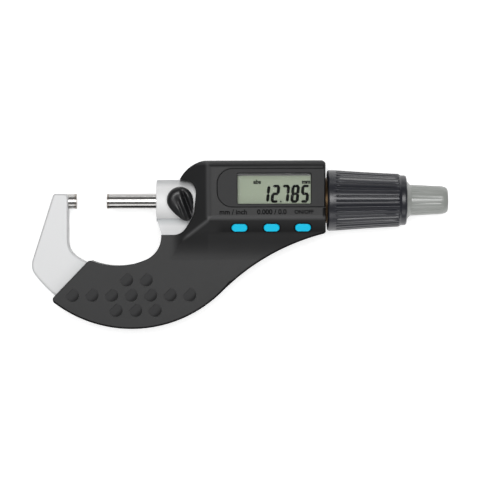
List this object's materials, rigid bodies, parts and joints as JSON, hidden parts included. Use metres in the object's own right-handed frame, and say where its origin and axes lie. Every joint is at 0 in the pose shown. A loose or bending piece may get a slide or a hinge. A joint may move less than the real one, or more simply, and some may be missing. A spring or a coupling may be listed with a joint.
{
  "type": "digital outside micrometer",
  "caption": "Digital outside micrometer with a bow-shaped frame, a moulded grip and display housing, a spindle fed by a ribbed thimble, a friction knob and a lever that locks the spindle.",
  "frame": {"origin": "centre of the anvil's measuring face", "axes": "+X along the spindle axis, away from the anvil; +Y up the display, away from the grip; +Z out of the display face"},
  "size_m": [0.1763, 0.0711, 0.0267],
  "materials": {
    "frame_lacquer": "satin silver lacquer",
    "ground_steel": "ground and polished",
    "carbide": "lapped carbide",
    "bronze": "sintered",
    "black_rubber": "matt",
    "brass": "turned",
    "dark_steel": "blackened",
    "lever_black": "gloss moulded",
    "bright_steel": "turned",
    "thimble_black": "fine moulded",
    "aluminium": "turned",
    "clutch_plastic": "natural",
    "knob_grey": "satin moulded",
    "knob_cap_grey": "satin moulded",
    "spring_steel": "drawn",
    "encoder_board": "etched board",
    "cover_charcoal": "fine textured",
    "cover_charcoal_rear": "fine textured",
    "bezel_charcoal": "smooth",
    "window_glass": "clear",
    "lcd_panel": "grey-green reflective",
    "strip_rubber": "layered",
    "board_green": "solder resist",
    "button_blue": "satin",
    "dome_steel": "bright",
    "battery_steel": "bright",
    "cap_plastic": "fine textured"
  },
  "bodies": {
    "body": {"frame": "frame_lacquer", "anvil": "ground_steel", "anvil_tip": "carbide", "spindle_bush": "bronze", "spindle_seal": "black_rubber", "clamp_pad": "brass", "spindle_nut": "brass", "adjusting_ring": "bright_steel", "retaining_ring": "dark_steel", "front_cover": "cover_charcoal", "rear_cover": "cover_charcoal_rear", "cover_screws": "dark_steel", "display_bezel": "bezel_charcoal", "display_glass": "window_glass", "lcd_cell": "lcd_panel", "contact_strip": "strip_rubber", "circuit_board": "board_green", "encoder_stator": "encoder_board", "stator_bracket": "bright_steel", "bracket_screws": "bright_steel", "battery": "battery_steel", "battery_contact_minus": "spring_steel", "battery_contact_plus": "spring_steel", "cap_seal": "black_rubber", "key_dome_left": "dome_steel", "key_dome_middle": "dome_steel", "key_dome_right": "dome_steel"},
    "thimble_unit": {"thimble": "thimble_black", "thimble_core": "aluminium", "drive_bush": "bright_steel", "ratchet_stub": "bright_steel", "clutch_washer": "clutch_plastic", "knob_retainer": "bright_steel"},
    "spindle_unit": {"spindle": "ground_steel", "spindle_tip": "carbide"},
    "rotor_unit": {"encoder_rotor": "encoder_board", "rotor_hub": "brass", "hub_clip": "dark_steel"},
    "knob_unit": {"ratchet_knob": "knob_grey", "clutch_spring": "spring_steel", "knob_cap": "knob_cap_grey"},
    "lever_unit": {"lock_lever": "lever_black", "lock_shaft": "dark_steel"},
    "left_key": {"button_left": "button_blue"},
    "middle_key": {"button_middle": "button_blue"},
    "right_key": {"button_right": "button_blue"},
    "cap_unit": {"battery_cap": "cap_plastic"}
  },
  "joints": [
    {"name": "thimble_turn", "type": "hinge", "parent": "body", "child": "thimble_unit", "pos_m": [0, 0, 0], "axis": [1, 0, 0], "range_deg": [-9205, 12394]},
    {"name": "spindle_feed", "type": "slide", "parent": "thimble_unit", "child": "spindle_unit", "axis": [1, 0, 0], "range_m": [-0.01278, 0.01722]},
    {"name": "rotor_turn", "type": "hinge", "parent": "body", "child": "rotor_unit", "pos_m": [0, 0, 0], "axis": [1, 0, 0], "range_deg": [-9205, 12394]},
    {"name": "knob_slip", "type": "hinge", "parent": "thimble_unit", "child": "knob_unit", "pos_m": [0.148, 0, 0], "axis": [1, 0, 0], "continuous": true},
    {"name": "lever_turn", "type": "hinge", "parent": "body", "child": "lever_unit", "pos_m": [0.044, 0, 0.01], "axis": [0, 0, 1], "range_deg": [-60, 0]},
    {"name": "battery_cap_turn", "type": "hinge", "parent": "body", "child": "cap_unit", "pos_m": [0.0668, -0.0015, -0.0125], "axis": [0, 0, 1], "range_deg": [0, 60]},
    {"name": "left_button_press", "type": "slide", "parent": "body", "child": "left_key", "axis": [0, 0, -1], "range_m": [0, 0.0005], "stiffness_N_per_m": 2000, "deforming": ["key_dome_left"]},
    {"name": "middle_button_press", "type": "slide", "parent": "body", "child": "middle_key", "axis": [0, 0, -1], "range_m": [0, 0.0005], "stiffness_N_per_m": 2000, "deforming": ["key_dome_middle"]},
    {"name": "right_button_press", "type": "slide", "parent": "body", "child": "right_key", "axis": [0, 0, -1], "range_m": [0, 0.0005], "stiffness_N_per_m": 2000, "deforming": ["key_dome_right"]}
  ],
  "couplings": [
    {"joint": "spindle_feed", "follows": "thimble_turn", "m_per_rad": 0.000079577},
    {"joint": "rotor_turn", "follows": "thimble_turn", "ratio": 1}
  ]
}
